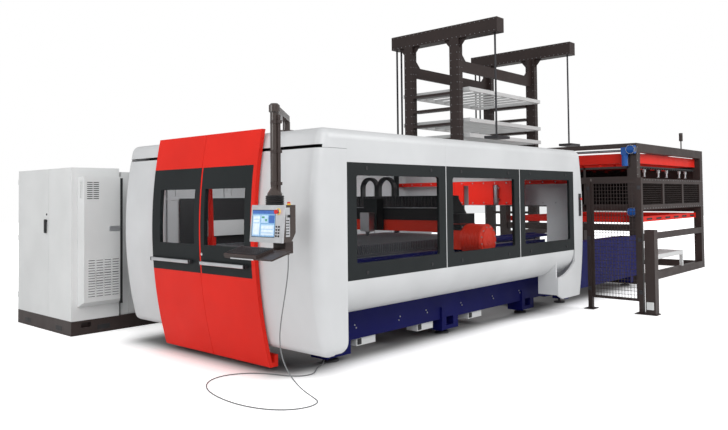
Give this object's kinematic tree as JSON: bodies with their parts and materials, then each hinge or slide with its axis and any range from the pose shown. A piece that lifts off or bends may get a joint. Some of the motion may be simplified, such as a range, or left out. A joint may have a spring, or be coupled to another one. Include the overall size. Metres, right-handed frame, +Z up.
{
  "type": "fiber laser cutting machine",
  "caption": "Enclosed sheet laser cutting machine with bowed sliding doors, windowed cabin, moving bridge, shuttle pallet, swivelling panel, cabinets, loader and sheet store.",
  "frame": {"origin": "centre of the underside of the bed's near corner foot, on the floor", "axes": "+X along the cabin from the doors to the loader, +Y across from the window side, +Z up"},
  "size_m": [12.8509, 7.04, 5.3],
  "materials": {
    "white_paint": "satin powder coat",
    "light_paint": "fine textured powder coat",
    "red_paint": "satin paint",
    "blue_paint": "satin paint",
    "dark_grey_paint": "satin powder coat",
    "brown_paint": "satin paint",
    "dark_steel": "black oxide",
    "bright_steel": "bare ground steel",
    "alloy": "anodised",
    "tinted_glass": "clear grey laser-safe sheet",
    "screen": "display glass",
    "black_plastic": "fine grain",
    "red_plastic": "moulded",
    "cord_jacket": "flexible jacket"
  },
  "bodies": {
    "installation": {"bed_frame": "blue_paint", "levelling_feet": "dark_steel", "scrap_drawers": "light_paint", "cabin_frame": "dark_grey_paint", "front_header": "white_paint", "front_panels": "white_paint", "roof_panels": "white_paint", "lower_panels": "white_paint", "far_wall_panels": "white_paint", "rear_end_shell": "white_paint", "window_frames": "dark_grey_paint", "window_panes": "tinted_glass", "rear_gate": "red_paint", "button_strip": "black_plastic", "guide_rails": "bright_steel", "table_frame": "blue_paint", "arm_base": "brown_paint", "cabinet_plinth": "brown_paint", "control_cabinet": "light_paint", "laser_cabinet": "light_paint", "cooling_unit": "light_paint", "guard_fence": "brown_paint", "guard_mesh": "brown_paint", "loader_frame": "brown_paint", "gear_motors": "blue_paint", "store_frame": "brown_paint", "cassettes": "light_paint", "lift_chains": "dark_steel"},
    "left_door": {"door_leaf_left": "red_paint", "door_band_left": "dark_grey_paint", "door_glass_left": "tinted_glass", "door_handle_left": "alloy"},
    "right_door": {"door_leaf_right": "red_paint", "door_band_right": "dark_grey_paint", "door_glass_right": "tinted_glass", "door_handle_right": "alloy"},
    "bridge": {"bridge_beam": "red_paint", "bridge_cover": "black_plastic", "drive_housing": "red_paint", "cable_chains": "black_plastic"},
    "carriage": {"carriage": "dark_grey_paint"},
    "head": {"cutting_head": "alloy"},
    "pallet": {"pallet_frame": "dark_steel", "pallet_slats": "bright_steel"},
    "arm": {"swivel_arm": "brown_paint"},
    "panel": {"mast": "brown_paint", "operator_panel": "alloy", "panel_housing": "brown_paint", "panel_screen": "screen", "keyboard_tray": "brown_paint", "network_cord": "cord_jacket"},
    "stop_button": {"emergency_stop": "red_plastic"},
    "selector": {"selector_knob": "black_plastic"},
    "near_cabinet_door": {"cabinet_door_near": "light_paint"},
    "far_cabinet_door": {"cabinet_door_far": "light_paint"},
    "cabinet_lever": {"swing_handle": "black_plastic"},
    "rear_stop_button": {"strip_stop": "red_plastic"},
    "suction_lift_frame": {"suction_frame": "red_paint"},
    "drive_shaft": {"lift_shaft": "bright_steel"},
    "unloader": {"unload_frame": "red_paint"}
  },
  "joints": [
    {"name": "door_left_slide", "type": "slide", "parent": "installation", "child": "left_door", "axis": [0, 1, 0], "range_m": [0, 0.68]},
    {"name": "door_right_slide", "type": "slide", "parent": "installation", "child": "right_door", "axis": [0, -1, 0], "range_m": [0, 0.68]},
    {"name": "bridge_travel", "type": "slide", "parent": "installation", "child": "bridge", "axis": [1, 0, 0], "range_m": [-1.95, 1]},
    {"name": "carriage_travel", "type": "slide", "parent": "bridge", "child": "carriage", "axis": [0, 1, 0], "range_m": [-0.78, 0.56]},
    {"name": "head_lift", "type": "slide", "parent": "carriage", "child": "head", "axis": [0, 0, 1], "range_m": [0, 0.12]},
    {"name": "pallet_shuttle", "type": "slide", "parent": "installation", "child": "pallet", "axis": [1, 0, 0], "range_m": [0, 4.65]},
    {"name": "arm_swivel", "type": "hinge", "parent": "installation", "child": "arm", "pos_m": [-0.582, -0.03, 2.295], "axis": [0, 0, 1], "range_deg": [-60, 5]},
    {"name": "mast_swivel", "type": "hinge", "parent": "arm", "child": "panel", "pos_m": [-1.162, -0.54, 2.295], "axis": [0, 0, 1], "range_deg": [-35, 35]},
    {"name": "stop_press", "type": "slide", "parent": "panel", "child": "stop_button", "axis": [1, 0, 0], "range_m": [0, 0.006], "stiffness_N_per_m": 600},
    {"name": "selector_turn", "type": "hinge", "parent": "panel", "child": "selector", "pos_m": [-1.192, -0.745, 1.452], "axis": [0, 1, 0], "range_deg": [-45, 45]},
    {"name": "near_cabinet_door_hinge", "type": "hinge", "parent": "installation", "child": "near_cabinet_door", "pos_m": [-1.102, 3.178, 1], "axis": [0, 0, 1], "range_deg": [0, 105]},
    {"name": "far_cabinet_door_hinge", "type": "hinge", "parent": "installation", "child": "far_cabinet_door", "pos_m": [-1.102, 4.698, 1], "axis": [0, 0, -1], "range_deg": [0, 105]},
    {"name": "cabinet_lever_turn", "type": "hinge", "parent": "far_cabinet_door", "child": "cabinet_lever", "pos_m": [-1.107, 3.845, 1.338], "axis": [1, 0, 0], "range_deg": [0, 80]},
    {"name": "rear_stop_press", "type": "slide", "parent": "installation", "child": "rear_stop_button", "axis": [0, 1, 0], "range_m": [0, 0.006], "stiffness_N_per_m": 600},
    {"name": "suction_lift", "type": "slide", "parent": "installation", "child": "suction_lift_frame", "axis": [0, 0, 1], "range_m": [-0.6, 0]},
    {"name": "lift_shaft_turn", "type": "hinge", "parent": "installation", "child": "drive_shaft", "pos_m": [7.741, 1.2, 2.39], "axis": [0, 1, 0], "range_deg": [-690, 1]},
    {"name": "unload_lift", "type": "slide", "parent": "installation", "child": "unloader", "axis": [0, 0, 1], "range_m": [-0.15, 0.15]}
  ],
  "couplings": [
    {"joint": "lift_shaft_turn", "follows": "suction_lift", "rad_per_m": 20}
  ]
}
